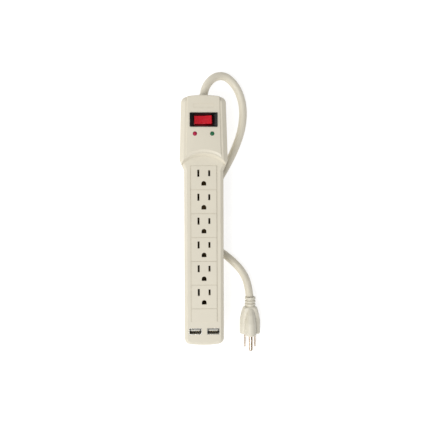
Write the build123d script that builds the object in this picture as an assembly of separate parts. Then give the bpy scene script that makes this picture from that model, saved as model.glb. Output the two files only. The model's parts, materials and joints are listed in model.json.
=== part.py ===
from build123d import *
import math
import os

# Six-outlet power strip with a rocker switch, surge protection and two USB charging ports.
# Millimetres. +Y runs along the strip towards the head, +X across it, +Z out of the outlet face.
# The origin is the centre of the housing's box. The strip lies on its own cord, and the cord
# and the plug lie on a floor at FLOOR_Z.

# ---------------------------------------------------------------- housing
LENGTH = 293.0              # strip, end to end
BODY_WIDTH = 46.3           # outlet section
HEAD_HALF_END = 26.0        # head's half width at the cord end
HEAD_HALF_FOOT = 28.2       # head's half width above its shoulders
SHOULDER_TOP_Y = 71.4       # shoulders slope in from here
SHOULDER_FOOT_Y = 59.9      # to the body here
END_BULGE = 2.3             # how far both ends bow outwards
CORNER_R = 7.0
SHOULDER_R = 8.0
BACK_Z = -19.3              # flat back
PARTING_Z = -5.0            # plane between the back cover and the front housing
FACE_Z = 12.8               # outlet section's front
HEAD_Z = 17.3               # crest of the head's crowned front
CROWN_R = 320.0             # radius of the crown, across the head
WALL = 2.4
LIP = 1.2                   # inner lip of the back cover
LIP_H = 1.6
FIT_GAP = 0.15
BODY_SLOPE = (3.6, 2.1)     # flank along the front edges: width on the face, depth down the side
HEAD_SLOPE = (5.0, 3.0)
EDGE_R = 1.4                # rounding between a flank and the side below it
PANEL_EDGE_R = 0.9          # rounding along the panel's sides and end
HALF_LENGTH = LENGTH / 2
BODY_HALF = BODY_WIDTH / 2
FLOOR_IN_Z = BACK_Z + 2.2   # inside of the back cover's flat floor

# ---------------------------------------------------------------- outlets
OUTLET_COUNT = 6
OUTLET_PITCH = 28.0
CELL_TOP_Y = 65.5           # top line of the first outlet cell
CELL_END_Y = -118.1
CELL_HALF = 15.3
CELL_RAISE = 0.5
SCRIBE_W = 0.7
SCRIBE_D = 0.4
SIDE_LINE_W = 0.7           # grooves along both sides of the outlets
BLADE_DROP = 8.8            # blade slots below the cell's top line
GROUND_DROP = 11.9          # ground hole below the blade slots
BLADE_X = 6.35
SLOT_W = 2.4
NEUTRAL_SLOT = 8.3
HOT_SLOT = 6.9
GROUND_HOLE_R = 2.8
GROUND_HOLE_FLAT = 2.5      # flat side below the hole's centre
OUTLET_YS = [CELL_TOP_Y - BLADE_DROP - OUTLET_PITCH * i for i in range(OUTLET_COUNT)]

# ---------------------------------------------------------------- head front
PANEL_RAISE = 1.0           # centre panel above the crown
PANEL_HALF_END = 18.6
PANEL_HALF_FOOT = 20.6
PANEL_FOOT_Y = 80.7         # crest of the panel's arched foot, under the bevel
PANEL_ARCH_R = 36.0
PANEL_BEVEL = 2.4           # width of the bevel along the foot
STEP_CREST_Y = 76.8         # crest of the arched step from the outlet face up to the head
STEP_R, STEP_W = 38.0, 3.0  # the arch at its foot, and how wide its slope is
RECESS_Y = 134.2            # blank recess above the switch
RECESS_W, RECESS_H, RECESS_D = 24.0, 4.6, 0.35
LED_Y, LED_X, LED_R = 102.1, 10.0, 2.45

# ---------------------------------------------------------------- switch
SWITCH_Y = 118.0
BEZEL_L, BEZEL_H, BEZEL_PROUD = 32.1, 16.4, 1.0
CASE_L, CASE_H = 29.6, 14.6
CASE_FOOT_Z = -2.8
WELL_L, WELL_H = 23.4, 11.2     # opening that the rocker turns in
FUNNEL_L, FUNNEL_H = 30.7, 14.8
FUNNEL_D = 3.2                  # depth of the bezel's sloping guard
ROCKER_H = 10.2
ROCKER_END_X = 10.7
ROCKER_DISH = 1.6               # how far the ends stand above the middle
ROCKER_SWING = 20.0             # degrees between its two latched positions
PIVOT_Z = 12.0
LEVER_SWING = 12.0
LEVER_Z = 4.0
BEZEL_Z = HEAD_Z + PANEL_RAISE + BEZEL_PROUD

# ---------------------------------------------------------------- USB
USB_Y, USB_X = -129.7, 10.6
SHELL_W, SHELL_H, SHELL_T = 13.1, 5.9, 0.35
FLARE_W, FLARE_H, FLARE_D = 14.6, 7.2, 1.4
USB_BOARD_Z = -2.6
BOARD_T = 1.6

# ---------------------------------------------------------------- fastening
SCREW_PLACES = [(20.8, 134.0), (17.3, 13.4), (17.3, -109.6)]
SCREW_SEAT_Z = BACK_Z + 4.5
SCREW_L = 16.0
KEYHOLE_Y = 100.0
KEYHOLE_R, KEYHOLE_NECK_R, KEYHOLE_RUN = 4.5, 2.25, 8.5

# ---------------------------------------------------------------- cord and plug
CORD_D = 9.8
CORD_R = CORD_D / 2
FLOOR_Z = BACK_Z - CORD_D - 0.2
LYING_Z = FLOOR_Z + CORD_R          # centre line of the cord where it lies on the floor
EXIT_Z = PARTING_Z
CORD_START_Y = 144.5            # inside the strain relief
LEAD_START_Y = CORD_START_Y - 0.3   # where the three wires come out of the jacket
PLUG_X = 57.3
PLUG_Z = FLOOR_Z + 12.0             # centre line of the plug's neck
NECK_Y = -95.1
NECK_R = 6.7
CORD_END_Y = -100.6             # inside the plug's neck
PLUG_FACE_Y = -141.7
BLADES_Z = FLOOR_Z + 7.0
PIN_Z = BLADES_Z + GROUND_DROP
PIN_R, PIN_L = 2.38, 19.5
BLADE_L, BLADE_W, BLADE_T = 17.5, 6.35, 1.5

# Corners of the cord's route: out of the head, round a loop down to the floor, under the strip
# and out again on the same side, then up into the plug's neck.
CORD_ROUTE = [
    (0.0, CORD_START_Y, EXIT_Z),
    (0.5, 156.5, -5.3),
    (6.0, 167.5, -6.8),
    (15.0, 175.5, -9.6),
    (26.5, 177.0, -14.0),
    (37.0, 170.0, -18.2),
    (45.5, 157.0, -21.4),
    (50.0, 137.0, -23.6),
    (47.5, 111.5, LYING_Z),
    (38.0, 86.0, LYING_Z),
    (25.0, 61.5, LYING_Z),
    (12.0, 39.5, LYING_Z),
    (1.0, 19.0, LYING_Z),
    (-2.5, -1.0, LYING_Z),
    (2.5, -20.0, LYING_Z),
    (15.5, -35.5, LYING_Z),
    (33.0, -48.0, LYING_Z),
    (48.0, -63.5, -23.0),
    (55.5, -81.0, -19.2),
    (PLUG_X, CORD_END_Y, PLUG_Z),
]

parts = {}


# ---------------------------------------------------------------- helpers
def block(x0, x1, y0, y1, z0, z1):
    """A box between two corners."""
    centre = ((x0 + x1) / 2, (y0 + y1) / 2, (z0 + z1) / 2)
    return Pos(*centre) * Box(x1 - x0, y1 - y0, z1 - z0)


def rod(radius, start, end):
    """A round rod between two points."""
    a, b = Vector(*start), Vector(*end)
    plane = Plane(origin=a, z_dir=(b - a))
    return extrude(plane * Circle(radius), (b - a).length)


def prism(outline, z0, z1):
    """A closed face in the XY plane, drawn up from z0 to z1."""
    return extrude(Pos(0, 0, z0) * outline, z1 - z0)


def rounded_box(x, y, width, height, radius, z0, z1):
    return extrude(Pos(x, y, z0) * RectangleRounded(width, height, radius), z1 - z0)


def both_sides(places):
    return [(side * x, y) for x, y in places for side in (-1, 1)]


def wire(points, radius, bend):
    """A round wire along straight runs joined by arcs."""
    path = FilletPolyline(*points, radius=bend)
    start = Plane(origin=path @ 0, z_dir=path % 0)
    return sweep(start * Circle(radius), path=path)


def group(solids):
    return Compound(children=list(solids))


# ---------------------------------------------------------------- housing
def strip_outline(inset):
    """Outline of the whole strip in the XY plane, moved in by inset all round."""
    head_end = HEAD_HALF_END - inset
    foot = HEAD_HALF_FOOT - inset
    body = BODY_HALF - inset
    top = HALF_LENGTH - END_BULGE - inset
    crest = HALF_LENGTH - inset
    corner = max(CORNER_R - inset, 1.0)
    right = [
        (head_end, top),
        (foot, SHOULDER_TOP_Y),
        (body, SHOULDER_FOOT_Y + inset * 0.3),
        (body, -top),
    ]
    left = [(-x, y) for x, y in reversed(right)]
    edges = [Line(a, b) for a, b in zip(right, right[1:])]
    edges.append(ThreePointArc(right[-1], (0, -crest), left[0]))
    edges += [Line(a, b) for a, b in zip(left, left[1:])]
    edges.append(ThreePointArc(left[-1], (0, crest), right[0]))
    face = make_face(edges)
    face = fillet([v for v in face.vertices() if abs(v.Y) > top - 1], corner)
    face = fillet([v for v in face.vertices() if abs(v.Y - SHOULDER_TOP_Y) < 0.1], SHOULDER_R)
    foot_y = SHOULDER_FOOT_Y + inset * 0.3
    return fillet([v for v in face.vertices() if abs(v.Y - foot_y) < 0.1], SHOULDER_R / 2)


def head_outline(inset):
    """The head's own outline: the strip's, cut off just under the shoulders."""
    whole = strip_outline(inset)
    low = SHOULDER_FOOT_Y - 3
    return whole & (Pos(0, (low + 160) / 2) * Rectangle(80, 160 - low))


def body_outline(inset):
    whole = strip_outline(inset)
    return whole & (Pos(0, -50) * Rectangle(2 * (BODY_HALF - inset), 260))


def crown(radius):
    """The cylinder whose top is the head's crowned front."""
    centre_z = HEAD_Z - CROWN_R
    return rod(radius, (0, 40, centre_z), (0, 170, centre_z))


def arch_cutter():
    """What the head leaves open above the arched end of the outlet face, with a sloping edge."""
    side = make_face(Polyline(
        (0, PARTING_Z - 1), (STEP_R, PARTING_Z - 1), (STEP_R, FACE_Z),
        (STEP_R + STEP_W, HEAD_Z), (STEP_R + STEP_W, 40), (0, 40), close=True,
    ))
    return Pos(0, STEP_CREST_Y - STEP_R, 0) * revolve(Plane.XZ * side, Axis.Z)


def panel_outline():
    """Raised centre panel of the head: tapered sides and an arched foot."""
    foot_y = PANEL_FOOT_Y - PANEL_ARCH_R + math.sqrt(PANEL_ARCH_R**2 - PANEL_HALF_FOOT**2)
    top_left = (-PANEL_HALF_END, HALF_LENGTH + 4)
    top_right = (PANEL_HALF_END, HALF_LENGTH + 4)
    foot_left = (-PANEL_HALF_FOOT, foot_y)
    foot_right = (PANEL_HALF_FOOT, foot_y)
    return make_face([
        Line(top_left, top_right),
        Line(top_right, foot_right),
        ThreePointArc(foot_right, (0, PANEL_FOOT_Y), foot_left),
        Line(foot_left, top_left),
    ])


def outlet_openings(y):
    """Cutters for one outlet: two blade slots and the ground hole with its flat."""
    z0, z1 = FACE_Z - WALL - 1, FACE_Z + 2
    neutral = rounded_box(-BLADE_X, y, SLOT_W, NEUTRAL_SLOT, 0.3, z0, z1)
    hot = rounded_box(BLADE_X, y, SLOT_W, HOT_SLOT, 0.3, z0, z1)
    ground_y = y - GROUND_DROP
    round_top = rod(GROUND_HOLE_R, (0, ground_y, z0), (0, ground_y, z1))
    above_flat = block(-15, 15, ground_y - GROUND_HOLE_FLAT, ground_y + 15, z0, z1)
    square_foot = block(
        -GROUND_HOLE_R, GROUND_HOLE_R, ground_y - GROUND_HOLE_FLAT, ground_y, z0, z1,
    )
    return [neutral, hot, (round_top & above_flat) + square_foot]


def outlet_panel():
    """The raised strip that carries the outlets, with scribed lines between its cells."""
    top = FACE_Z + CELL_RAISE
    raised = block(-CELL_HALF, CELL_HALF, CELL_END_Y, CELL_TOP_Y, FACE_Z - 0.5, top)
    raised = chamfer(raised.edges().group_by(Axis.Z)[-1], 0.3)
    for i in range(1, OUTLET_COUNT + 1):
        y = CELL_TOP_Y - OUTLET_PITCH * i
        raised -= block(-20, 20, y - SCRIBE_W / 2, y + SCRIBE_W / 2, top - SCRIBE_D, top + 1)
    return raised


def sloped_rim(solid, rim, slope):
    """A flank all along the rim of a solid's top face, rounded where it meets the side."""
    across_face, down_side = slope
    top = max(solid.faces(), key=lambda f: f.center().Z)
    middle_z = top.bounding_box().max.Z - 0.75 * down_side
    solid = chamfer(rim, across_face, down_side, reference=top)
    flanks = [f for f in solid.faces() if 0.5 < f.normal_at(f.center()).Z < 0.98]
    level = [e for f in flanks for e in f.edges() if abs((e % 0.5).Z) < 0.2]
    return fillet([e for e in level if e.center().Z < middle_z], EDGE_R)


def front_housing():
    body = prism(strip_outline(0), PARTING_Z, FACE_Z)
    body = sloped_rim(body, body.edges().group_by(Axis.Z)[-1], BODY_SLOPE)
    head = prism(head_outline(0), PARTING_Z, HEAD_Z + 5) & crown(CROWN_R)
    rim = [e for e in head.edges() if e.bounding_box().min.Z > FACE_Z and e.center().Y > SHOULDER_FOOT_Y]
    head = sloped_rim(head, rim, HEAD_SLOPE)
    head -= arch_cutter()
    panel = prism(head_outline(0) & panel_outline(), FACE_Z - 3, HEAD_Z + 5)
    panel = panel & crown(CROWN_R + PANEL_RAISE)
    top = max(panel.faces(), key=lambda f: f.center().Z)
    foot = min(top.edges(), key=lambda e: e.center().Y)
    panel = chamfer(foot, 1.3 * PANEL_BEVEL, 1.3 * PANEL_RAISE, reference=top)
    top = max(panel.faces(), key=lambda f: f.center().Z)
    foot = min(top.edges(), key=lambda e: e.center().Y)
    panel = fillet([e for e in top.edges() if e.center().Y > foot.center().Y + 1], PANEL_EDGE_R)
    shell = body + head + panel + outlet_panel()
    for side in (-1, 1):
        x = side * CELL_HALF
        x0, x1 = x - SIDE_LINE_W / 2, x + SIDE_LINE_W / 2
        shell -= block(x0, x1, CELL_END_Y, CELL_TOP_Y, FACE_Z - 0.5, FACE_Z + 1)

    shell -= prism(body_outline(WALL), PARTING_Z - 1, FACE_Z - WALL)
    shell -= prism(head_outline(WALL), PARTING_Z - 1, FACE_Z - WALL)
    hollow = prism(head_outline(WALL + 2), FACE_Z - WALL - 1, HEAD_Z) & crown(CROWN_R - WALL)
    hollow -= block(-40, 40, 40, STEP_CREST_Y + STEP_W + WALL, FACE_Z - WALL, HEAD_Z + 5)
    shell -= hollow

    for y in OUTLET_YS:
        for cutter in outlet_openings(y):
            shell -= cutter
    shell -= rounded_box(0, SWITCH_Y, CASE_L + 0.3, CASE_H + 0.3, 0.6, FACE_Z - 2, BEZEL_Z + 1)
    recess = rounded_box(0, RECESS_Y, RECESS_W, RECESS_H, 1.0, FACE_Z, HEAD_Z + 5)
    shell -= recess - crown(CROWN_R + PANEL_RAISE - RECESS_D)
    for x in (-LED_X, LED_X):
        shell -= rod(LED_R + 0.1, (x, LED_Y, FACE_Z - 3), (x, LED_Y, BEZEL_Z + 1))
    for x in (-USB_X, USB_X):
        shell -= rounded_box(x, USB_Y, FLARE_W + 0.3, FLARE_H + 0.3, 0.5, FACE_Z - WALL - 1, FACE_Z + 1)
    for x, y in both_sides(SCREW_PLACES):
        boss_top = FACE_Z - WALL + (4.1 if y > SHOULDER_TOP_Y else 0.5)
        boss = rod(3.4, (x, y, PARTING_Z), (x, y, boss_top))
        shell += boss - rod(1.5, (x, y, PARTING_Z - 1), (x, y, PARTING_Z + 9))
    shell -= rod(CORD_R + 1.9, (0, HALF_LENGTH - 12, EXIT_Z), (0, HALF_LENGTH + 5, EXIT_Z))
    return shell


def keyhole(y):
    """Cutter for one keyhole: a round entry and a narrow run towards the head."""
    entry = rod(KEYHOLE_R, (0, y, BACK_Z - 1), (0, y, FLOOR_IN_Z + 0.1))
    run = rounded_box(
        0, y + KEYHOLE_RUN / 2, 2 * KEYHOLE_NECK_R, KEYHOLE_RUN + 2 * KEYHOLE_NECK_R,
        KEYHOLE_NECK_R - 0.01, BACK_Z - 1, FLOOR_IN_Z + 0.1,
    )
    return entry + run


def back_cover():
    outer = prism(strip_outline(0), BACK_Z, PARTING_Z)
    outer = fillet(outer.edges().group_by(Axis.Z)[0], 1.6)
    shell = outer - prism(strip_outline(WALL + LIP), FLOOR_IN_Z, PARTING_Z + 1)
    lip = prism(strip_outline(WALL + FIT_GAP), PARTING_Z - 0.5, PARTING_Z + LIP_H)
    shell += lip - prism(strip_outline(WALL + LIP), PARTING_Z - 1, PARTING_Z + 5)
    for x, y in both_sides(SCREW_PLACES):
        notch = rod(3.4 + 0.3, (x, y, PARTING_Z), (x, y, PARTING_Z + 5))
        post = rod(3.6, (x, y, BACK_Z + 0.5), (x, y, PARTING_Z))
        shell = shell - notch + post
        shell -= rod(1.65, (x, y, BACK_Z - 1), (x, y, PARTING_Z + 1))
        shell -= rod(3.1, (x, y, BACK_Z - 1), (x, y, SCREW_SEAT_Z))
    for y in (-KEYHOLE_Y, KEYHOLE_Y):
        middle = y + KEYHOLE_RUN / 2
        shell += block(-6.6, 6.6, middle - 11.2, middle + 11.2, FLOOR_IN_Z - 0.2, FLOOR_IN_Z + 6.2)
        shell -= block(-5.4, 5.4, middle - 10, middle + 10, FLOOR_IN_Z, FLOOR_IN_Z + 5)
        shell -= keyhole(y)
    for x, y in both_sides([(19.0, 75.5), (19.0, 104.0)]):
        shell += rod(2.0, (x, y, FLOOR_IN_Z - 0.2), (x, y, -1.0))
    for x, y in both_sides([(16.3, -122.6), (14.0, -139.4)]):
        shell += rod(1.8, (x, y, FLOOR_IN_Z - 0.2), (x, y, USB_BOARD_Z))
    shell -= rod(CORD_R + 1.9, (0, HALF_LENGTH - 6, EXIT_Z), (0, HALF_LENGTH + 5, EXIT_Z))
    return shell


def case_screws():
    """Six pan-head screws with a cross recess."""
    solids = []
    for x, y in both_sides(SCREW_PLACES):
        head = rod(2.75, (x, y, SCREW_SEAT_Z - 2.0), (x, y, SCREW_SEAT_Z))
        head = chamfer(head.edges().group_by(Axis.Z)[0], 0.6)
        shank = rod(1.4, (x, y, SCREW_SEAT_Z), (x, y, SCREW_SEAT_Z + SCREW_L))
        shank = chamfer(shank.edges().group_by(Axis.Z)[-1], 0.8)
        cross = block(x - 1.6, x + 1.6, y - 0.35, y + 0.35, SCREW_SEAT_Z - 3, SCREW_SEAT_Z - 0.9)
        cross += block(x - 0.35, x + 0.35, y - 1.6, y + 1.6, SCREW_SEAT_Z - 3, SCREW_SEAT_Z - 0.9)
        solids.append(head + shank - cross)
    return group(solids)


# ---------------------------------------------------------------- rocker switch
def funnel(z0, z1, low, high):
    """A rectangular taper from the size low at z0 to the size high at z1."""
    bottom = Pos(0, SWITCH_Y, z0) * Rectangle(*low)
    top = Pos(0, SWITCH_Y, z1) * Rectangle(*high)
    return loft([bottom, top])


def switch_body():
    """Bezel with its sloping guard, and the case below the panel."""
    panel_z = HEAD_Z + PANEL_RAISE
    bezel = rounded_box(0, SWITCH_Y, BEZEL_L, BEZEL_H, 0.8, panel_z, BEZEL_Z)
    bezel = chamfer(bezel.edges().group_by(Axis.Z)[-1], 0.3)
    case = rounded_box(0, SWITCH_Y, CASE_L, CASE_H, 0.5, CASE_FOOT_Z, panel_z)
    body = bezel + case
    body -= funnel(BEZEL_Z - FUNNEL_D, BEZEL_Z + 0.01, (WELL_L, WELL_H), (FUNNEL_L, FUNNEL_H))
    well_floor = CASE_FOOT_Z + 1.6
    body -= funnel(well_floor, BEZEL_Z - FUNNEL_D + 0.01, (WELL_L, WELL_H), (WELL_L, WELL_H))
    body -= block(-13.3, 13.3, SWITCH_Y - 5.6, SWITCH_Y + 5.6, well_floor, PIVOT_Z - 3.0)
    body -= rod(1.25, (0, SWITCH_Y - 6.7, PIVOT_Z), (0, SWITCH_Y + 6.7, PIVOT_Z))
    for x in (-8.0, 0.0, 8.0):
        body -= block(x - 0.45, x + 0.45, SWITCH_Y - 3.2, SWITCH_Y + 3.2, CASE_FOOT_Z - 1, well_floor + 1)
    return body


def tilted(shape, degrees, z):
    """Turned about a line along Y through the switch, at height z."""
    axis = Axis((0, SWITCH_Y, z), (0, 1, 0))
    return shape.rotate(axis, degrees)


def switch_rocker():
    """Dished cap with a skirt, two pivot pins and a hollow stem for the plunger."""
    crown_z = PIVOT_Z + 3.0
    skirt_z = PIVOT_Z - 3.4
    profile = make_face(Polyline(
        (-ROCKER_END_X, crown_z + ROCKER_DISH), (0, crown_z), (ROCKER_END_X, crown_z + ROCKER_DISH),
        (ROCKER_END_X, skirt_z), (-ROCKER_END_X, skirt_z), close=True,
    ))
    half = ROCKER_H / 2
    cap = extrude(Plane.XZ.offset(-SWITCH_Y) * profile, half, both=True)
    outer = [e for e in cap.edges() if e.bounding_box().min.Z > crown_z - 0.1]
    long_edges = [e for e in outer if abs(e.center().Y - SWITCH_Y) > half - 0.1]
    end_edges = [e for e in outer if abs(e.center().X) > ROCKER_END_X - 0.1]
    cap = fillet(long_edges + end_edges, 0.5)
    cap -= block(-8.7, 8.7, SWITCH_Y - 3.9, SWITCH_Y + 3.9, skirt_z - 1, PIVOT_Z + 1.0)
    cap += rod(2.7, (0, SWITCH_Y, PIVOT_Z - 4.4), (0, SWITCH_Y, PIVOT_Z + 1.5))
    cap -= rod(1.6, (0, SWITCH_Y, PIVOT_Z - 5), (0, SWITCH_Y, PIVOT_Z + 0.6))
    for side in (-1, 1):
        root = (0, SWITCH_Y + side * (half - 1.2), PIVOT_Z)
        tip = (0, SWITCH_Y + side * 6.5, PIVOT_Z)
        cap += rod(1.2, root, tip)
    return tilted(cap, -ROCKER_SWING / 2, PIVOT_Z)


def rocker_plunger():
    """Round-nosed plunger in the rocker's stem."""
    tip_z = PIVOT_Z - 7.5
    plunger = rod(1.5, (0, SWITCH_Y, tip_z), (0, SWITCH_Y, PIVOT_Z - 3.2))
    plunger = fillet(plunger.edges().group_by(Axis.Z)[0], 1.3)
    return tilted(plunger, -ROCKER_SWING / 2, PIVOT_Z)


def rocker_spring():
    """Coil spring between the stem's bore and the plunger."""
    wire_r, coil_r = 0.18, 1.2
    path = Pos(0, SWITCH_Y, PIVOT_Z - 2.95) * Helix(pitch=0.8, height=3.2, radius=coil_r)
    section = Plane(origin=path @ 0, z_dir=path % 0) * Circle(wire_r)
    return tilted(sweep(section, path=path), -ROCKER_SWING / 2, PIVOT_Z)


def contact_lever():
    """See-saw contact plate with a silver button under its right end."""
    plate = block(-7.2, 7.2, SWITCH_Y - 2.3, SWITCH_Y + 2.3, LEVER_Z - 0.7, LEVER_Z)
    button = rod(1.4, (5.6, SWITCH_Y, LEVER_Z - 1.5), (5.6, SWITCH_Y, LEVER_Z - 0.7))
    return tilted(plate + button, LEVER_SWING / 2, LEVER_Z - 0.9)


def switch_terminals():
    """Three tabs through the case's floor: the lever's fulcrum, the fixed contact and the lamp's."""
    solids = []
    floor_z = CASE_FOOT_Z + 1.6
    for x in (-8.0, 0.0, 8.0):
        tab = block(x - 0.4, x + 0.4, SWITCH_Y - 3.1, SWITCH_Y + 3.1, CASE_FOOT_Z - 6.5, floor_z + 0.6)
        if x == 0.0:
            fulcrum = block(-0.4, 0.4, SWITCH_Y - 2.3, SWITCH_Y + 2.3, floor_z, LEVER_Z - 0.9)
            tab += fulcrum - block(-1, 1, SWITCH_Y - 4, SWITCH_Y + 4, LEVER_Z - 1.1, LEVER_Z)
        if x == 8.0:
            tab += block(4.0, 8.4, SWITCH_Y - 2.3, SWITCH_Y + 2.3, floor_z, floor_z + 0.7)
            tab += rod(1.4, (5.6, SWITCH_Y, floor_z + 0.5), (5.6, SWITCH_Y, floor_z + 2.4))
        solids.append(tab)
    return group(solids)


def neon_lamp():
    """Glass indicator tube across the case, under the rocker's left end."""
    y0, y1 = SWITCH_Y - 4.2, SWITCH_Y + 4.2
    tube = rod(1.8, (-11.2, y0, 1.2), (-11.2, y1, 1.2))
    return fillet(tube.edges(), 1.0)


# ---------------------------------------------------------------- surge board
SURGE_BOARD_Z = -1.0
SURGE_TOP_Z = SURGE_BOARD_Z + BOARD_T


def surge_board():
    board = rounded_box(0, 89.5, 45.0, 34.0, 1.0, SURGE_BOARD_Z, SURGE_TOP_Z)
    for x in (-LED_X, LED_X):
        for leg in (-1.27, 1.27):
            board -= rod(0.5, (x + leg, LED_Y, -2), (x + leg, LED_Y, 2))
    return board


def varistors():
    """Three disc varistors standing on the board."""
    discs = []
    for x in (-15.0, -8.5, -2.0):
        disc = rod(4.6, (x - 2.0, 82.0, SURGE_TOP_Z + 4.7), (x + 2.0, 82.0, SURGE_TOP_Z + 4.7))
        discs.append(fillet(disc.edges(), 1.2))
    return group(discs)


def thermal_fuse():
    fuse = rod(1.9, (-17.0, 91.0, SURGE_TOP_Z + 2.2), (-7.0, 91.0, SURGE_TOP_Z + 2.2))
    lead = rod(0.4, (-20.0, 91.0, SURGE_TOP_Z + 2.2), (-4.0, 91.0, SURGE_TOP_Z + 2.2))
    return chamfer(fuse.edges(), 0.5) + lead


def x_capacitor():
    return fillet(block(6.0, 19.0, 76.5, 83.5, SURGE_TOP_Z, SURGE_TOP_Z + 9.0).edges(), 0.5)


def resistors():
    """Three axial resistors lying on the board."""
    solids = []
    for y in (88.0, 91.5, 95.0):
        z = SURGE_TOP_Z + 1.5
        barrel = fillet(rod(1.15, (8.5, y, z), (15.0, y, z)).edges(), 0.5)
        solids.append(barrel + rod(0.3, (6.0, y, z), (17.5, y, z)))
    return group(solids)


def led(x):
    """Round-topped 5 mm LED with a flange and two legs down to the board."""
    top_z = HEAD_Z + PANEL_RAISE + 0.55
    base_z = top_z - 8.6
    lens = rod(LED_R, (x, LED_Y, base_z), (x, LED_Y, top_z))
    lens = fillet(lens.edges().group_by(Axis.Z)[-1], 1.9)
    lens += rod(2.9, (x, LED_Y, base_z), (x, LED_Y, base_z + 1.0))
    for leg in (-1.27, 1.27):
        lens += rod(0.25, (x + leg, LED_Y, SURGE_BOARD_Z - 0.6), (x + leg, LED_Y, base_z + 0.5))
    return lens


# ---------------------------------------------------------------- contacts of the outlets
BUSBAR_Z = -3.0
BUSBAR_T = 0.8
CLIP_TOP_Z = FACE_Z - WALL - 3.4
BUSBAR_Y0 = OUTLET_YS[-1] - 7.0
BUSBAR_Y1 = OUTLET_YS[0] + 9.0


def blade_busbar(side):
    """Brass strip beside the middle, with a pair of spring leaves for each blade."""
    inner, outer = sorted((side * 4.6, side * 12.0))
    bar = block(inner, outer, BUSBAR_Y0, BUSBAR_Y1, BUSBAR_Z, BUSBAR_Z + BUSBAR_T)
    for y in OUTLET_YS:
        for offset in (-1.25, 1.25):
            x = side * BLADE_X + offset
            bar += block(x - 0.3, x + 0.3, y - 3.2, y + 3.2, BUSBAR_Z, CLIP_TOP_Z)
            lip = 0.35 if offset > 0 else -0.35
            bar += block(
                min(x, x + 2 * lip), max(x, x + 2 * lip), y - 3.2, y + 3.2,
                CLIP_TOP_Z - 0.6, CLIP_TOP_Z,
            )
    return bar


def ground_busbar():
    """Brass strip on the centre line, with a pair of leaves for each round pin."""
    y0 = OUTLET_YS[-1] - GROUND_DROP - 5.0
    bar = block(-1.6, 1.6, y0, BUSBAR_Y1, BUSBAR_Z, BUSBAR_Z + BUSBAR_T)
    for y in OUTLET_YS:
        centre = y - GROUND_DROP
        bar += block(-3.3, 3.3, centre - 2.6, centre + 2.6, BUSBAR_Z, BUSBAR_Z + BUSBAR_T)
        for side in (-1, 1):
            x = side * 2.95
            bar += block(x - 0.3, x + 0.3, centre - 2.4, centre + 2.4, BUSBAR_Z, CLIP_TOP_Z)
    return bar


def busbar_carrier():
    """Moulded tray that holds the brass strips at their height above the back cover."""
    y0, y1 = BUSBAR_Y0 - 11.0, BUSBAR_Y1 - 4.0
    tray = block(-13.0, 13.0, y0, y1, BUSBAR_Z - 2.2, BUSBAR_Z)
    for side in (-1, 1):
        inner, outer = sorted((side * 9.4, side * 11.4))
        tray += block(inner, outer, y0, y1, FLOOR_IN_Z, BUSBAR_Z - 2.0)
        inner, outer = sorted((side * 3.6, side * 4.4))
        tray += block(inner, outer, y0, y1, BUSBAR_Z - 0.5, BUSBAR_Z + 3.0)
    return tray


# ---------------------------------------------------------------- USB module
def usb_shell(x):
    """Folded metal receptacle with a flared mouth."""
    mouth_z = FACE_Z + 0.1
    neck_z = mouth_z - FLARE_D
    base_z = USB_BOARD_Z + BOARD_T
    outer = rounded_box(x, USB_Y, SHELL_W, SHELL_H, 0.6, base_z, neck_z)
    flare = loft([
        Pos(x, USB_Y, neck_z) * RectangleRounded(SHELL_W, SHELL_H, 0.6),
        Pos(x, USB_Y, mouth_z) * RectangleRounded(FLARE_W, FLARE_H, 0.6),
    ])
    inner_w, inner_h = SHELL_W - 2 * SHELL_T, SHELL_H - 2 * SHELL_T
    bore = rounded_box(x, USB_Y, inner_w, inner_h, 0.3, base_z + 0.6, neck_z)
    mouth = loft([
        Pos(x, USB_Y, neck_z) * RectangleRounded(inner_w, inner_h, 0.3),
        Pos(x, USB_Y, mouth_z) * RectangleRounded(FLARE_W - 0.5, FLARE_H - 0.5, 0.3),
    ])
    return outer + flare - bore - mouth


def usb_tongue(x):
    """Plastic tongue in the upper half of the port, on a block at its foot."""
    floor_z = USB_BOARD_Z + BOARD_T + 0.6
    foot = block(x - 6.0, x + 6.0, USB_Y - 2.4, USB_Y + 2.4, floor_z, floor_z + 3.0)
    tongue = block(x - 5.6, x + 5.6, USB_Y + 0.2, USB_Y + 2.2, floor_z + 3.0, FACE_Z - 1.2)
    return chamfer((foot + tongue).edges().group_by(Axis.Z)[-1], 0.3)


def usb_contacts(x):
    """Four gold strips on the tongue's lower face."""
    floor_z = USB_BOARD_Z + BOARD_T + 3.7
    strips = []
    for place in (-3.5, -1.0, 1.0, 3.5):
        strips.append(block(
            x + place - 0.5, x + place + 0.5, USB_Y - 0.1, USB_Y + 0.2, floor_z, FACE_Z - 2.0,
        ))
    return group(strips)


def usb_board():
    return rounded_box(0, -131.2, 37.0, 20.0, 1.5, USB_BOARD_Z, USB_BOARD_Z + BOARD_T)


def transformer():
    """Small flyback transformer hanging under the board: core, bobbin and winding."""
    core = block(-13.0, 1.0, -137.6, -126.6, USB_BOARD_Z - 9.0, USB_BOARD_Z - 1.5)
    core -= block(-10.5, -1.5, -139.1, -125.1, USB_BOARD_Z - 7.0, USB_BOARD_Z - 3.5)
    winding = block(-10.5, -1.5, -139.1, -125.1, USB_BOARD_Z - 7.0, USB_BOARD_Z - 3.5)
    foot = block(-11.0, -1.0, -138.1, -126.1, USB_BOARD_Z - 1.5, USB_BOARD_Z)
    return core + fillet(winding.edges().filter_by(Axis.X), 1.0) + foot


def filter_capacitors():
    cans = []
    for y in (-136.8, -127.6):
        can = rod(4.0, (7.5, y, USB_BOARD_Z - 10.5), (7.5, y, USB_BOARD_Z))
        cans.append(fillet(can.edges().group_by(Axis.Z)[0], 0.6))
    return group(cans)


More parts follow.
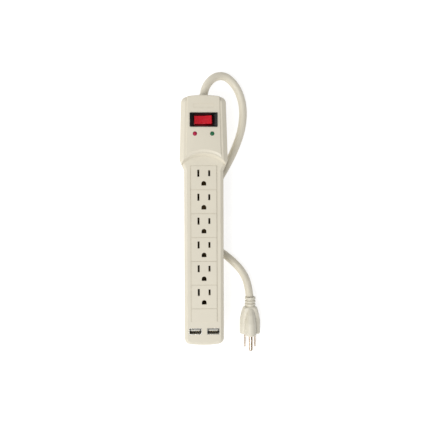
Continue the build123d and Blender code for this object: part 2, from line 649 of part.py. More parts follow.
def usb_controller():
    """Charging chip and its inductor on the top of the board, between the ports."""
    z = USB_BOARD_Z + BOARD_T
    chip = block(-2.4, 2.4, -136.6, -132.6, z, z + 1.5)
    coil = rod(2.3, (0, -125.6, z), (0, -125.6, z + 3.0))
    return group([chamfer(chip.edges().group_by(Axis.Z)[-1], 0.25), fillet(coil.edges(), 0.5)])


# ---------------------------------------------------------------- cord, plug and wiring
def corner_radii(route):
    """The largest arc at each corner: 0.45 of the shorter run, over the tangent of half the turn."""
    points = [Vector(*p) for p in route]
    radii = []
    for before, corner, after in zip(points, points[1:], points[2:]):
        arriving, leaving = corner - before, after - corner
        turn = math.radians(arriving.get_angle(leaving))
        shorter = min(arriving.length, leaving.length)
        radii.append(0.45 * shorter / math.tan(turn / 2))
    return radii


def power_cord():
    radii = corner_radii(CORD_ROUTE)
    path = FilletPolyline(*CORD_ROUTE, radius=radii)
    section = Plane(origin=path @ 0, z_dir=path % 0) * Circle(CORD_R)
    tube = sweep(section, path=path)
    expected = math.pi * CORD_R**2 * path.length
    print("cord radii", [round(r, 1) for r in radii])
    print("cord length", round(path.length, 1), "volume share", round(tube.volume / expected, 4))
    return tube


def cord_strain_relief():
    """Collar in the end wall: a flared nose outside, a flange and a tail inside."""
    tail_y, flange_y, wall_y = HALF_LENGTH - 16.0, HALF_LENGTH - 7.4, HALF_LENGTH + 0.3
    bore, neck = CORD_R, CORD_R + 1.8
    profile = make_face(Polyline(
        (bore, tail_y), (bore + 1.1, tail_y), (neck - 0.1, flange_y), (neck + 1.6, flange_y),
        (neck + 1.6, flange_y + 3.0), (neck, flange_y + 3.0), (neck, wall_y), (neck + 0.4, wall_y),
        (neck + 0.4, wall_y + 0.8), (neck - 0.2, wall_y + 2.0), (bore + 0.8, wall_y + 5.2),
        (bore, wall_y + 5.2), close=True,
    ))
    return Pos(0, 0, EXIT_Z) * revolve(profile, Axis.Y)


def plug_sections():
    """Lower part of the plug, from the neck to the face: centre height, width and height of each."""
    neck, face = NECK_Y - 11.0, PLUG_FACE_Y
    return [
        (neck, PLUG_Z, 14.0, 14.0, 5.5),
        (neck - 5.0, PLUG_Z - 1.4, 19.6, 15.6, 5.5),
        (neck - 14.0, PLUG_Z - 3.4, 23.6, 16.2, 6.0),
        (face + 9.0, PLUG_Z - 4.2, 25.8, 14.6, 6.0),
        (face, PLUG_Z - 4.3, 25.2, 14.4, 6.0),
    ]


def plug_core():
    """Rigid bridge that holds the three prongs inside the soft moulding."""
    low, high = BLADES_Z - 4.2, PIN_Z + 3.4
    bridge = block(PLUG_X - 9.2, PLUG_X + 9.2, PLUG_FACE_Y + 2.5, PLUG_FACE_Y + 8.5, low, BLADES_Z + 4.5)
    tower = block(PLUG_X - 4.0, PLUG_X + 4.0, PLUG_FACE_Y + 2.5, PLUG_FACE_Y + 8.5, low, high)
    return bridge + tower


def blade(x):
    """Flat prong with a bevelled end and a hole."""
    y1, y0 = PLUG_FACE_Y + 6.0, PLUG_FACE_Y - BLADE_L
    half = BLADE_W / 2
    prong = block(x - BLADE_T / 2, x + BLADE_T / 2, y0, y1, BLADES_Z - half, BLADES_Z + half)
    prong = chamfer(prong.edges().filter_by(Axis.X).group_by(Axis.Y)[0], 1.4)
    prong = chamfer(prong.edges().filter_by(Axis.Z).group_by(Axis.Y)[0], 0.4)
    return prong - rod(1.6, (x - 2, y0 + 4.4, BLADES_Z), (x + 2, y0 + 4.4, BLADES_Z))


def ground_pin():
    """Round prong with a domed end and a thinner root inside the plug."""
    root = rod(1.9, (PLUG_X, PLUG_FACE_Y + 6.0, PIN_Z), (PLUG_X, PLUG_FACE_Y - 1.0, PIN_Z))
    pin = rod(PIN_R, (PLUG_X, PLUG_FACE_Y, PIN_Z), (PLUG_X, PLUG_FACE_Y - PIN_L, PIN_Z))
    return fillet(pin.edges().group_by(Axis.Y)[0], 2.1) + root


def across(y, z):
    """Plane across the plug at y, facing the prongs, with its middle at height z."""
    return Plane(origin=(PLUG_X, y, z), x_dir=(1, 0, 0), z_dir=(0, -1, 0))


def plug_body(inner):
    """Moulded plug: ribbed neck, wide lower part and a ridge over the ground pin."""
    sections = [
        across(y, z) * RectangleRounded(width, height, radius)
        for y, z, width, height, radius in plug_sections()
    ]
    lower = loft(sections)
    face = lower.edges().group_by(Axis.Y)[0]
    lower = fillet(face, 1.2)
    neck_end = NECK_Y - 12.0
    ridge = loft([
        across(neck_end - 4, PLUG_Z + 1) * Circle(4.5),
        across(neck_end - 16, PLUG_Z + 3.2) * Circle(6.2),
        across(PLUG_FACE_Y + 0.4, PIN_Z - 0.6) * Circle(7.2),
    ])
    ridge = fillet(ridge.edges().group_by(Axis.Y)[0], 1.2)
    neck = rod(NECK_R, (PLUG_X, neck_end, PLUG_Z), (PLUG_X, NECK_Y, PLUG_Z))
    neck = fillet(neck.edges().group_by(Axis.Y)[-1], 0.8)
    for y in (NECK_Y - 3.6, NECK_Y - 7.2, NECK_Y - 10.6):
        ring = rod(8.0, (PLUG_X, y - 0.6, PLUG_Z), (PLUG_X, y + 0.6, PLUG_Z))
        neck -= ring - rod(NECK_R - 1.1, (PLUG_X, y - 0.6, PLUG_Z), (PLUG_X, y + 0.6, PLUG_Z))
    body = lower + ridge + neck
    body -= rod(CORD_R, (PLUG_X, CORD_END_Y, PLUG_Z), (PLUG_X, NECK_Y + 5, PLUG_Z))
    for piece in inner:
        body -= piece
    return body


def lead_line():
    """Insulated wire from the cord to the switch's middle tab."""
    return wire([
        (0, LEAD_START_Y, EXIT_Z + 2.4), (0, 128.0, EXIT_Z + 2.4), (0, 123.0, -10.6), (0, SWITCH_Y, -10.7),
    ], 1.35, 2.5)


def lead_switched():
    """Insulated wire from the switch's end tab to the line busbar."""
    return wire([
        (8.3, 116.5, -10.7), (9.0, 105.0, -11.0), (8.6, 75.0, -8.0), (8.3, BUSBAR_Y1, -2.6),
    ], 1.35, 2.5)


def lead_neutral():
    """Insulated wire from the cord to the neutral busbar."""
    return wire([
        (-2.1, LEAD_START_Y, EXIT_Z - 1.3), (-2.1, 129.0, EXIT_Z - 1.4), (-13.0, 122.0, -8.6),
        (-12.0, 85.0, -7.0), (-8.3, BUSBAR_Y1, BUSBAR_Z + BUSBAR_T / 2),
    ], 1.35, 2.5)


def lead_ground():
    """Insulated wire from the cord to the ground busbar."""
    return wire([
        (2.1, LEAD_START_Y, EXIT_Z - 1.3), (2.1, 129.0, EXIT_Z - 1.4), (13.0, 123.0, -8.6),
        (13.0, 87.0, -13.4), (4.0, 77.0, -13.0), (0, BUSBAR_Y1, BUSBAR_Z + BUSBAR_T / 2),
    ], 1.35, 2.5)


# ---------------------------------------------------------------- assembly
def build():
    parts["front_housing"] = front_housing()
    parts["back_cover"] = back_cover()
    parts["case_screws"] = case_screws()
    parts["switch_body"] = switch_body()
    parts["switch_rocker"] = switch_rocker()
    parts["rocker_plunger"] = rocker_plunger()
    parts["rocker_spring"] = rocker_spring()
    parts["contact_lever"] = contact_lever()
    parts["switch_terminals"] = switch_terminals()
    parts["neon_lamp"] = neon_lamp()
    parts["surge_board"] = surge_board()
    parts["varistors"] = varistors()
    parts["thermal_fuse"] = thermal_fuse()
    parts["x_capacitor"] = x_capacitor()
    parts["resistors"] = resistors()
    parts["led_red"] = led(-LED_X)
    parts["led_green"] = led(LED_X)
    parts["neutral_busbar"] = blade_busbar(-1)
    parts["line_busbar"] = blade_busbar(1)
    parts["ground_busbar"] = ground_busbar()
    parts["busbar_carrier"] = busbar_carrier()
    for name, x in (("left", -USB_X), ("right", USB_X)):
        parts["usb_shell_" + name] = usb_shell(x)
        parts["usb_tongue_" + name] = usb_tongue(x)
        parts["usb_contacts_" + name] = usb_contacts(x)
    parts["usb_board"] = usb_board()
    parts["transformer"] = transformer()
    parts["filter_capacitors"] = filter_capacitors()
    parts["usb_controller"] = usb_controller()
    parts["lead_line"] = lead_line()
    parts["lead_switched"] = lead_switched()
    parts["lead_neutral"] = lead_neutral()
    parts["lead_ground"] = lead_ground()
    parts["power_cord"] = power_cord()
    parts["cord_strain_relief"] = cord_strain_relief()
    prongs = {"neutral_blade": blade(PLUG_X - BLADE_X), "line_blade": blade(PLUG_X + BLADE_X)}
    prongs["ground_pin"] = ground_pin()
    core = plug_core()
    parts["plug_body"] = plug_body([core, *prongs.values()])
    for prong in prongs.values():
        core -= prong
    parts["plug_core"] = core
    parts.update(prongs)


build()
os.makedirs("parts", exist_ok=True)
for name, shape in parts.items():
    export_step(shape, f"parts/{name}.step")
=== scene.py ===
import json
import math

import bmesh
import bpy
from mathutils import Matrix, Vector


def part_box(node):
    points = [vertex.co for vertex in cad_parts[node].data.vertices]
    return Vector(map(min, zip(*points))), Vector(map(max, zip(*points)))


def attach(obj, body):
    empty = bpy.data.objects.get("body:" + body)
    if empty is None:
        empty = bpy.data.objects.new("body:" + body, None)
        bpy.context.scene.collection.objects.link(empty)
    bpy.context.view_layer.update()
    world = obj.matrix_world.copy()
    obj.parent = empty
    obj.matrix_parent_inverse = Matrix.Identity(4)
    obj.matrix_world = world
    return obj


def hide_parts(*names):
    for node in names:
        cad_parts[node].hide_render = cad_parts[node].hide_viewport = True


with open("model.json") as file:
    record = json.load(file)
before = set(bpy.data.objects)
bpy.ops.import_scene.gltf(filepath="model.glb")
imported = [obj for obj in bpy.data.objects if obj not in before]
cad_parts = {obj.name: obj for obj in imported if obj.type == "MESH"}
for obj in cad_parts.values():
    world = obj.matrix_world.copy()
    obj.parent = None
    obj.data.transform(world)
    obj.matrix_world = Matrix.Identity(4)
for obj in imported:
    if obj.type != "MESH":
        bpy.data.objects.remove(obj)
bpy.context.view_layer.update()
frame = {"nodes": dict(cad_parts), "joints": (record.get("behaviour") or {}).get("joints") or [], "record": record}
NODES = frame["nodes"]
MM = 0.001

# ---------------------------------------------------------------- places taken from the frame
STRIP_END_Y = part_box("back_cover")[1].y
FLOOR_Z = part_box("power_cord")[0].z
CORD_D = 9.8 * MM
CORD_R = CORD_D / 2
ROCKER_JOINT = next(joint for joint in frame["joints"] if joint["name"] == "rocker_tilt")
ROCKER_PIVOT = Vector(ROCKER_JOINT["pos_m"])

# The cord's corners, from inside the head round to the plug's neck.
CORD_ROUTE = [
    (0.0, 0.1445, -0.005),
    (0.0005, 0.1565, -0.0053),
    (0.006, 0.1675, -0.0068),
    (0.015, 0.1755, -0.0096),
    (0.0265, 0.177, -0.014),
    (0.037, 0.17, -0.0182),
    (0.0455, 0.157, -0.0214),
    (0.05, 0.137, -0.0236),
    (0.0475, 0.1115, -0.0244),
    (0.038, 0.086, -0.0244),
    (0.025, 0.0615, -0.0244),
    (0.012, 0.0395, -0.0244),
    (0.001, 0.019, -0.0244),
    (-0.0025, -0.001, -0.0244),
    (0.0025, -0.02, -0.0244),
    (0.0155, -0.0355, -0.0244),
    (0.033, -0.048, -0.0244),
    (0.048, -0.0635, -0.023),
    (0.0555, -0.081, -0.0192),
    (0.0573, -0.1006, -0.0173),
]


# ---------------------------------------------------------------- meshes
def new_piece(name, bm, material, smooth_angle=35.0):
    """A bmesh as an object, shaded smooth below the angle given."""
    bmesh.ops.recalc_face_normals(bm, faces=bm.faces)
    mesh = bpy.data.meshes.new(name)
    bm.to_mesh(mesh)
    bm.free()
    piece = bpy.data.objects.new(name, mesh)
    bpy.context.scene.collection.objects.link(piece)
    mesh.materials.append(material)
    mesh.polygons.foreach_set("use_smooth", [True] * len(mesh.polygons))
    mesh.set_sharp_from_angle(angle=math.radians(smooth_angle))
    return piece


def stand_for(piece, node, body="root"):
    """The piece takes a CAD node's place."""
    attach(piece, body)
    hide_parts(node)
    return piece


def skin(bm, rings, close_ends=True):
    """Faces between rings of points, each ring a closed loop."""
    loops = [[bm.verts.new(p) for p in ring] for ring in rings]
    count = len(loops[0])
    for low, high in zip(loops, loops[1:]):
        for i in range(count):
            j = (i + 1) % count
            bm.faces.new((low[i], low[j], high[j], high[i]))
    if close_ends:
        bm.faces.new(loops[0])
        bm.faces.new(loops[-1])
    return loops


def turned(profile, axis_point, segments=64):
    """Rings of a body turned about a line along Y: the profile holds (radius, y)."""
    rings = []
    for radius, y in profile:
        ring = []
        for i in range(segments):
            a = 2 * math.pi * i / segments
            ring.append(Vector((
                axis_point.x + radius * math.cos(a), y, axis_point.z + radius * math.sin(a),
            )))
        rings.append(ring)
    return rings


# ---------------------------------------------------------------- materials
def new_material(name):
    material = bpy.data.materials.new(name)
    material.use_nodes = True
    return material, material.node_tree.nodes["Principled BSDF"]


def add_node(shader, kind, **inputs):
    """A node in the shader's tree, with some of its inputs set."""
    node = shader.id_data.nodes.new(kind)
    for key, value in inputs.items():
        node.inputs[key.replace("_", " ")].default_value = value
    return node


def link(shader, source, target):
    shader.id_data.links.new(source, target)


def object_point(shader):
    return add_node(shader, "ShaderNodeTexCoord").outputs["Object"]


def noise_value(shader, scale, detail=3.0, rough=0.5):
    node = add_node(shader, "ShaderNodeTexNoise", Scale=scale, Detail=detail, Roughness=rough)
    link(shader, object_point(shader), node.inputs["Vector"])
    return node.outputs["Fac"]


def ramp(shader, source, stops):
    """A colour ramp from (position, colour) pairs."""
    node = add_node(shader, "ShaderNodeValToRGB")
    elements = node.color_ramp.elements
    while len(elements) < len(stops):
        elements.new(0.5)
    for element, (position, colour) in zip(elements, stops):
        element.position = position
        element.color = (*colour, 1.0)
    link(shader, source, node.inputs["Fac"])
    return node.outputs["Color"]


def multiply(shader, a, b):
    node = add_node(shader, "ShaderNodeMix")
    node.data_type = "RGBA"
    node.blend_type = "MULTIPLY"
    node.inputs[0].default_value = 1.0
    link(shader, a, node.inputs[6])
    link(shader, b, node.inputs[7])
    return node.outputs[2]


def grey(value):
    return (value, value, value)


def scaled(colour, factor):
    return tuple(min(c * factor, 1.0) for c in colour)


def add_bump(shader, height, distance, strength=1.0):
    """Bump on top of whatever bump the shader already has."""
    node = add_node(shader, "ShaderNodeBump", Strength=strength, Distance=distance)
    link(shader, height, node.inputs["Height"])
    normal = shader.inputs["Normal"]
    if normal.is_linked:
        link(shader, normal.links[0].from_socket, node.inputs["Normal"])
    link(shader, node.outputs["Normal"], normal)


def occlusion(shader, distance, dark):
    """Painted shade from ambient occlusion: white in the open, going towards dark in a groove or corner."""
    node = add_node(shader, "ShaderNodeAmbientOcclusion", Distance=distance)
    node.samples = 6
    return ramp(shader, node.outputs["AO"], [(0.25, dark), (0.85, grey(1.0))])


def moulded(name, colour, rough=0.42, grain=0.03, spread=0.02, coat=0.0, corner_shade=0.80):
    """Moulded plastic: faint blotches, a fine satin grain and painted shade that darkens corners and grooves."""
    material, shader = new_material(name)
    blotch = ramp(shader, noise_value(shader, 38.0, 4.0), [
        (0.3, scaled(colour, 1.0 - spread)), (0.7, scaled(colour, 1.0 + spread)),
    ])
    # painted shade: the colour darkens where ambient occlusion finds a groove or corner
    painted_shade = occlusion(shader, 3.0 * MM, (corner_shade, corner_shade * 0.985, corner_shade * 0.955))
    link(shader, multiply(shader, blotch, painted_shade), shader.inputs["Base Color"])
    polish = ramp(shader, noise_value(shader, 240.0, 2.0), [
        (0.3, grey(rough - 0.05)), (0.7, grey(rough + 0.05)),
    ])
    link(shader, polish, shader.inputs["Roughness"])
    add_bump(shader, noise_value(shader, 2600.0, 2.0), grain * MM)
    shader.inputs["Coat Weight"].default_value = coat
    return material


def metal(name, colour, rough=0.28, brushed=0.012, spread=0.06, corner_shade=0.85):
    """Rolled or plated metal with drawn scratches and slight tarnish, and painted shade that dulls it in deep
    corners.
    """
    material, shader = new_material(name)
    shader.inputs["Metallic"].default_value = 1.0
    tarnish = ramp(shader, noise_value(shader, 210.0, 5.0, 0.6), [
        (0.25, scaled(colour, 1.0 - 2 * spread)),
        (0.6, colour),
        (0.8, scaled(colour, 1.0 + spread)),
    ])
    # painted shade: the metal darkens where ambient occlusion finds a deep corner
    painted_shade = occlusion(shader, 8.0 * MM, grey(corner_shade))
    link(shader, multiply(shader, tarnish, painted_shade), shader.inputs["Base Color"])
    polish = ramp(shader, noise_value(shader, 500.0, 3.0), [
        (0.3, grey(rough - 0.06)), (0.75, grey(rough + 0.1)),
    ])
    link(shader, polish, shader.inputs["Roughness"])
    wave = add_node(shader, "ShaderNodeTexWave", Scale=900.0, Distortion=6.0, Detail=3.0)
    link(shader, object_point(shader), wave.inputs["Vector"])
    add_bump(shader, wave.outputs["Fac"], brushed * MM)
    return material


def tinted_lens(name, colour, rough=0.28, glow=0.0):
    """Clear tinted plastic that light soaks into."""
    material, shader = new_material(name)
    shade = ramp(shader, noise_value(shader, 420.0, 2.0), [
        (0.2, scaled(colour, 0.8)), (0.8, scaled(colour, 1.15)),
    ])
    link(shader, shade, shader.inputs["Base Color"])
    shader.inputs["Roughness"].default_value = rough
    shader.inputs["Specular IOR Level"].default_value = 0.2
    shader.inputs["Subsurface Weight"].default_value = 0.35
    shader.inputs["Subsurface Scale"].default_value = 1.5 * MM
    shader.inputs["Subsurface Radius"].default_value = (1.0, 0.35, 0.3)
    if glow:
        shader.inputs["Emission Color"].default_value = (*colour, 1.0)
        shader.inputs["Emission Strength"].default_value = glow
    return material


ALMOND = (0.735, 0.684, 0.562)
MATERIALS = {
    "housing_plastic": moulded("housing_plastic", ALMOND, rough=0.40, grain=0.02),
    "screw_steel": metal("screw_steel", (0.56, 0.57, 0.58)),
    "switch_black": moulded(
        # the last number sets how dark the painted shade in the bezel's corners goes
        "switch_black", (0.006, 0.007, 0.007), rough=0.26, grain=0.008, corner_shade=0.7,
    ),
    "rocker_red": tinted_lens("rocker_red", (0.56, 0.006, 0.018), rough=0.34, glow=0.05),
    "nylon_white": moulded("nylon_white", (0.78, 0.78, 0.73), rough=0.5),
    "spring_steel": metal("spring_steel", (0.5, 0.5, 0.5), rough=0.22),
    # painted shadow: the brass goes near-black deep inside the outlet cavities, so the contacts seen through the
    # slots read dark
    "contact_brass": metal("contact_brass", (0.34, 0.23, 0.10), rough=0.45, corner_shade=0.04),
    "lamp_glass": tinted_lens("lamp_glass", (0.85, 0.62, 0.45)),
    "circuit_board": moulded("circuit_board", (0.035, 0.17, 0.06), rough=0.3, spread=0.2),
    "varistor_blue": moulded("varistor_blue", (0.03, 0.10, 0.34), rough=0.25, coat=0.3),
    "fuse_white": moulded("fuse_white", (0.78, 0.75, 0.68), rough=0.55),
    "capacitor_yellow": moulded("capacitor_yellow", (0.72, 0.48, 0.06), rough=0.38),
    "resistor_tan": moulded("resistor_tan", (0.55, 0.36, 0.18), rough=0.35),
    "led_red_lens": tinted_lens("led_red_lens", (0.42, 0.018, 0.065), glow=0.08),
    "led_green_lens": tinted_lens("led_green_lens", (0.022, 0.15, 0.065), glow=0.08),
    "carrier_plastic": moulded("carrier_plastic", (0.035, 0.035, 0.037), rough=0.5),
    "usb_steel": metal("usb_steel", (0.60, 0.59, 0.56), rough=0.24),
    "tongue_plastic": moulded("tongue_plastic", (0.56, 0.55, 0.50), rough=0.45),
    "contact_gold": metal("contact_gold", (0.90, 0.66, 0.25), rough=0.2),
    "ferrite": moulded("ferrite", (0.03, 0.028, 0.028), rough=0.6, grain=0.05),
    "capacitor_can": moulded("capacitor_can", (0.02, 0.025, 0.05), rough=0.3),
    "chip_black": moulded("chip_black", (0.012, 0.012, 0.012), rough=0.45),
    "wire_black": moulded("wire_black", (0.012, 0.012, 0.012), rough=0.4),
    "wire_white": moulded("wire_white", (0.78, 0.78, 0.75), rough=0.4),
    "wire_green": moulded("wire_green", (0.01, 0.16, 0.03), rough=0.4),
    "cord_jacket": moulded("cord_jacket", (0.745, 0.695, 0.575), rough=0.46, grain=0.02),
    "plug_moulding": moulded("plug_moulding", (0.74, 0.70, 0.59), rough=0.44, grain=0.03),
    "prong_brass": metal("prong_brass", (0.56, 0.45, 0.34), rough=0.26),
}


def dress_nodes():
    """Every CAD node takes its slot's material."""
    for row in frame["record"]["subparts"]:
        node = NODES[row["node"]]
        node.data.materials.clear()
        node.data.materials.append(MATERIALS[row["material_slot"]])


# ---------------------------------------------------------------- cord
def route_line():
    """Points along the smooth line that the route's corners pull."""
    curve = bpy.data.curves.new("route", "CURVE")
    curve.dimensions = "3D"
    curve.resolution_u = 14
    spline = curve.splines.new("NURBS")
    spline.points.add(len(CORD_ROUTE) - 1)
    for point, place in zip(spline.points, CORD_ROUTE):
        point.co = (*place, 1.0)
    spline.order_u = 3
    spline.use_endpoint_u = True
    holder = bpy.data.objects.new("route", curve)
    mesh = bpy.data.meshes.new_from_object(holder)
    line = [v.co.copy() for v in mesh.vertices]
    bpy.data.meshes.remove(mesh)
    bpy.data.objects.remove(holder)
    bpy.data.curves.remove(curve)
    return line


def cord_piece(line):
    """The jacket: a round tube that shows the lay of the three cores twisted inside it."""
    segments, lobe, pitch = 48, 0.05 * MM, 62.0 * MM
    rings, along = [], 0.0
    side = Vector((0, 0, 1))
    for i, centre in enumerate(line):
        before, after = line[max(i - 1, 0)], line[min(i + 1, len(line) - 1)]
        heading = (after - before).normalized()
        side = (side - heading * side.dot(heading)).normalized()
        across = heading.cross(side)
        along += (centre - before).length
        ring = []
        for k in range(segments):
            a = 2 * math.pi * k / segments
            radius = CORD_R - lobe + lobe * math.cos(3 * a - 2 * math.pi * along / pitch)
            ring.append(centre + (side * math.cos(a) + across * math.sin(a)) * radius)
        rings.append(ring)
    bm = bmesh.new()
    skin(bm, rings)
    return new_piece("cord_jacket", bm, MATERIALS["cord_jacket"], 60.0)


def strain_relief_piece():
    """Moulded sleeve: a tail and a flange inside the head, and a tapering flare outside it."""
    low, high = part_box("cord_strain_relief")
    centre = (low + high) / 2
    wall, tip = STRIP_END_Y + 0.3 * MM, high.y
    bore, neck = CORD_R + 0.05 * MM, CORD_R + 1.8 * MM
    flange_y, flange_end_y = STRIP_END_Y - 7.4 * MM, STRIP_END_Y - 4.4 * MM
    flange_r = neck + 1.6 * MM
    profile = [
        (bore, low.y), (CORD_R + 1.0 * MM, low.y), (neck - 0.2 * MM, flange_y),
        (flange_r, flange_y), (flange_r, flange_end_y), (neck, flange_end_y),
        (neck, wall), (neck + 0.3 * MM, wall + 0.1 * MM), (neck + 0.4 * MM, wall + 0.6 * MM),
    ]
    nose_y = wall + 0.9 * MM
    thin, spread = 0.35 * MM, 1.5 * MM
    steps = 14
    for i in range(steps + 1):
        t = i / steps
        profile.append((bore + thin + spread * (1 - t) ** 1.7, nose_y + (tip - nose_y) * t))
    profile += [(bore + 0.1 * MM, tip + 0.05 * MM), (bore, tip)]
    bm = bmesh.new()
    rings = turned(profile, centre)
    loops = skin(bm, rings, close_ends=False)
    count = len(loops[0])
    for i in range(count):
        j = (i + 1) % count
        bm.faces.new((loops[-1][i], loops[-1][j], loops[0][j], loops[0][i]))
    return new_piece("strain_relief_sleeve", bm, MATERIALS["cord_jacket"])


# ---------------------------------------------------------------- plug
PLUG_X = (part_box("plug_body")[0].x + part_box("plug_body")[1].x) / 2
NECK_TOP_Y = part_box("plug_body")[1].y
NECK_Z = CORD_ROUTE[-1][2]
FACE_Y = -141.9 * MM
NECK_R = 6.75 * MM
NECK_FOOT_Y = NECK_TOP_Y - 11.6 * MM
GROOVES = [NECK_TOP_Y - d * MM for d in (3.8, 7.4, 11.2)]
GROOVE_HALF, GROOVE_DEPTH = 0.85 * MM, 1.15 * MM
NECK_EDGE_R = 0.8 * MM
WINGS = [
    # y, half width, bottom, top
    (NECK_FOOT_Y, 6.6, -23.8, -10.6),
    (NECK_FOOT_Y - 2.0 * MM, 8.9, -25.4, -10.4),
    (NECK_FOOT_Y - 10.0 * MM, 11.2, -28.2, -12.0),
    (NECK_FOOT_Y - 18.8 * MM, 12.8, -29.1, -13.7),
    (FACE_Y, 12.8, -29.1, -14.4),
]
RIDGE = [
    # y, half width, top
    (NECK_FOOT_Y, 4.0, -12.8),
    (NECK_FOOT_Y - 3.0 * MM, 4.4, -9.4),
    (NECK_FOOT_Y - 10.0 * MM, 5.7, -6.4),
    (NECK_FOOT_Y - 20.0 * MM, 6.9, -4.4),
    (FACE_Y, 7.3, -3.8),
]


def between(table, y):
    """The row of a table at y, eased between the rows on both sides."""
    if y >= table[0][0]:
        return table[0][1:]
    for upper, lower in zip(table, table[1:]):
        if y >= lower[0]:
            t = (upper[0] - y) / (upper[0] - lower[0])
            return tuple(a + (b - a) * t for a, b in zip(upper[1:], lower[1:]))
    return table[-1][1:]


def reach(angle, centre_z, half_width, bottom, top, power):
    """How far a rounded-square section goes from a centre inside it."""
    middle, half_height = (bottom + top) / 2, (top - bottom) / 2
    dx, dz = math.cos(angle), math.sin(angle)
    near, far = 0.0, 40.0
    for _ in range(32):
        r = (near + far) / 2
        x, z = abs(r * dx) / half_width, abs(centre_z + r * dz - middle) / half_height
        if x**power + z**power < 1.0:
            near = r
        else:
            far = r
    return near


def soft_max(a, b, width):
    """The larger of two lengths, blended where they are closer than width."""
    overlap = max(width - abs(a - b), 0.0) / width
    return max(a, b) + overlap * overlap * width / 4


def plug_ring(y, shrink, segments):
    """One section of the plug, in millimetres about its middle, smaller by shrink."""
    wing_half, wing_bottom, wing_top = between(WINGS, y)
    ridge_half, ridge_top = between(RIDGE, y)
    centre_z = (wing_bottom + wing_top) / 2 + 0.6
    ring = []
    for k in range(segments):
        a = 2 * math.pi * k / segments
        wing = reach(a, centre_z, wing_half, wing_bottom, wing_top, 3.4)
        ridge = reach(a, centre_z, ridge_half, wing_bottom, ridge_top, 2.5)
        r = soft_max(wing, ridge, 0.9) - shrink
        ring.append(Vector((
            PLUG_X + r * math.cos(a) * MM, y, (centre_z + r * math.sin(a)) * MM,
        )))
    return ring


def neck_ring(y, radius, segments):
    """A circle about the neck's middle."""
    ring = []
    for k in range(segments):
        a = 2 * math.pi * k / segments
        ring.append(Vector((PLUG_X + radius * math.cos(a), y, NECK_Z + radius * math.sin(a))))
    return ring


def neck_radius(y):
    """The neck's radius at y: flat ribs with round-bottomed grooves between them."""
    radius = NECK_R
    for groove in GROOVES:
        away = abs(y - groove) / GROOVE_HALF
        if away < 1.0:
            radius = min(radius, NECK_R - GROOVE_DEPTH * math.sqrt(1.0 - away**2))
    crown = max(1.0 - (NECK_TOP_Y - y) / NECK_EDGE_R, 0.0)
    return radius - NECK_EDGE_R * (1.0 - math.sqrt(1.0 - min(crown, 1.0) ** 2))


def plug_piece():
    """Moulded plug: ribbed neck, two wings over the blades and a ridge over the ground pin."""
    segments = 112
    bore, bore_foot_y = CORD_R + 0.05 * MM, NECK_TOP_Y - 5.0 * MM
    rings = [neck_ring(bore_foot_y, bore, segments), neck_ring(NECK_TOP_Y, bore, segments)]
    step = 0.2 * MM
    count = int((NECK_TOP_Y - NECK_FOOT_Y) / step)
    for i in range(count + 1):
        y = NECK_TOP_Y - i * step
        rings.append(neck_ring(y, neck_radius(y), segments))
    body_steps, edge_steps = 46, 6
    edge = 1.3
    shoulder = 1.6 * MM
    start_y, end_y = NECK_FOOT_Y - 0.3 * MM, FACE_Y + edge * MM
    for i in range(1, body_steps + 1):
        y = start_y + (end_y - start_y) * i / body_steps
        t = min((NECK_FOOT_Y - y) / shoulder, 1.0)
        ring = plug_ring(y, 0.0, segments)
        if t < 1.0:
            bulge = math.sqrt(t * (2.0 - t))
            inside = neck_ring(y, NECK_R - 0.9 * MM, segments)
            ring = [a.lerp(b, bulge) for a, b in zip(inside, ring)]
        rings.append(ring)
    for i in range(1, edge_steps + 1):
        a = math.pi / 2 * i / edge_steps
        y = FACE_Y + edge * MM * (1.0 - math.sin(a))
        ring = plug_ring(FACE_Y, edge * (1.0 - math.cos(a)), segments)
        rings.append([Vector((p.x, y, p.z)) for p in ring])
    bm = bmesh.new()
    skin(bm, rings)
    return new_piece("plug_moulding", bm, MATERIALS["plug_moulding"], 50.0)


# ---------------------------------------------------------------- rocker
def rocker_piece():
    """Dished translucent cap with rounded edges, at its resting tilt."""
    half_length, half_width = 10.25 * MM, 4.85 * MM
    crown, dish, skirt = 3.0 * MM, 1.6 * MM, -3.4 * MM
    steps = 28
    profile = []
    for i in range(steps + 1):
        x = half_length * (2.0 * i / steps - 1.0)
        profile.append((x, crown + dish * (abs(x) / half_length) ** 1.35))
    profile += [(half_length * 0.985, skirt), (-half_length * 0.985, skirt)]
    bm = bmesh.new()
    rings = [[Vector((x, side * half_width, z)) for x, z in profile] for side in (-1, 1)]
    skin(bm, rings)
    towards_head, resting_tilt = 0.4 * MM, math.radians(-10.0)
    middle = ROCKER_PIVOT + Vector((0, towards_head, 0))
    rest = Matrix.Translation(middle) @ Matrix.Rotation(resting_tilt, 4, "Y")
    bmesh.ops.transform(bm, matrix=rest, verts=bm.verts)
    piece = new_piece("rocker_cap", bm, MATERIALS["rocker_red"])
    bevel = piece.modifiers.new("edges", "BEVEL")
    bevel.width = 0.45 * MM
    bevel.segments = 4
    bevel.limit_method = "ANGLE"
    bevel.angle_limit = math.radians(40.0)
    return piece


# ---------------------------------------------------------------- studio
def floor_piece():
    """Plain pale floor just under the cord, glowing a little so that shadows stay faint."""
    material, shader = new_material("floor_white")
    tone = ramp(shader, noise_value(shader, 3.0), [(0.3, grey(0.40)), (0.7, grey(0.42))])
    link(shader, tone, shader.inputs["Base Color"])
    shader.inputs["Roughness"].default_value = 0.7
    shader.inputs["Emission Color"].default_value = (1.0, 1.0, 1.0, 1.0)
    shader.inputs["Emission Strength"].default_value = 0.74
    gap = 0.05 * MM
    bm = bmesh.new()
    bmesh.ops.create_grid(bm, x_segments=8, y_segments=8, size=9.0)
    bmesh.ops.translate(bm, vec=(0, 0, FLOOR_Z - gap), verts=bm.verts)
    piece = new_piece("floor", bm, material)


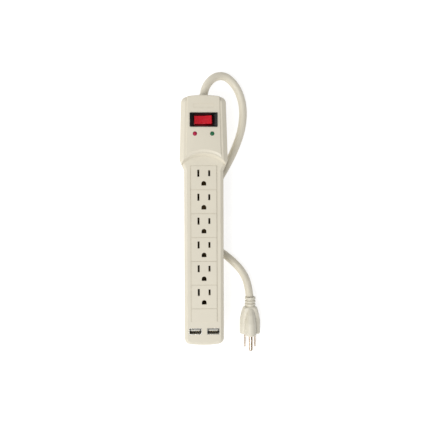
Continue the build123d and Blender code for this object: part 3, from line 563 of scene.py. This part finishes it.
def area_light(name, place, target, size, power):
    data = bpy.data.lights.new(name, "AREA")
    data.shape = "DISK"
    data.size = size
    data.energy = power
    lamp = bpy.data.objects.new(name, data)
    bpy.context.scene.collection.objects.link(lamp)
    lamp.location = place
    aim = Vector(target) - Vector(place)
    lamp.rotation_euler = aim.to_track_quat("-Z", "Y").to_euler()


def studio():
    """A surround that is bright at the lower left, and one big soft key light there."""
    world = bpy.data.worlds.new("studio")
    bpy.context.scene.world = world
    world.use_nodes = True
    background = world.node_tree.nodes["Background"]
    facing = add_node(background, "ShaderNodeVectorMath")
    facing.operation = "DOT_PRODUCT"
    facing.inputs[1].default_value = (-0.80, -0.45, 0.40)
    place = add_node(background, "ShaderNodeTexCoord")
    link(background, place.outputs["Generated"], facing.inputs[0])
    level = add_node(background, "ShaderNodeMapRange")
    span = {"From Min": -0.6, "From Max": 1.0, "To Min": 0.17, "To Max": 1.0}
    for name, value in span.items():
        level.inputs[name].default_value = value
    link(background, facing.outputs["Value"], level.inputs["Value"])
    link(background, level.outputs["Result"], background.inputs["Strength"])
    background.inputs["Color"].default_value = (1.0, 1.0, 1.0, 1.0)
    key_place, key_size, key_power = (-1.30, -1.55, 3.40), 1.5, 65.0
    area_light("key", key_place, (0.0, 0.0, 0.0), key_size, key_power)
    bpy.context.scene.view_settings.view_transform = "Standard"


def camera():
    """Looks straight down at the strip, from a little above its middle."""
    data = bpy.data.cameras.new("camera")
    data.lens = 37.64
    data.sensor_width = 36.0
    data.clip_start = 0.01
    holder = bpy.data.objects.new("camera", data)
    bpy.context.scene.collection.objects.link(holder)
    pitch, yaw, roll = math.radians(1.553), math.radians(1.486), math.radians(0.228)
    turn = Matrix.Rotation(-pitch, 4, "X")
    turn = turn @ Matrix.Rotation(-yaw, 4, "Y") @ Matrix.Rotation(-roll, 4, "Z")
    holder.matrix_world = turn @ Matrix.Translation((13.316 * MM, 7.508 * MM, 540.02 * MM))
    bpy.context.scene.camera = holder


dress_nodes()
line = route_line()
cord = cord_piece(line)
stand_for(cord, "power_cord")
relief = stand_for(strain_relief_piece(), "cord_strain_relief")
plug = stand_for(plug_piece(), "plug_body")
rocker = stand_for(rocker_piece(), "switch_rocker", "rocker")
floor_piece()
studio()
camera()
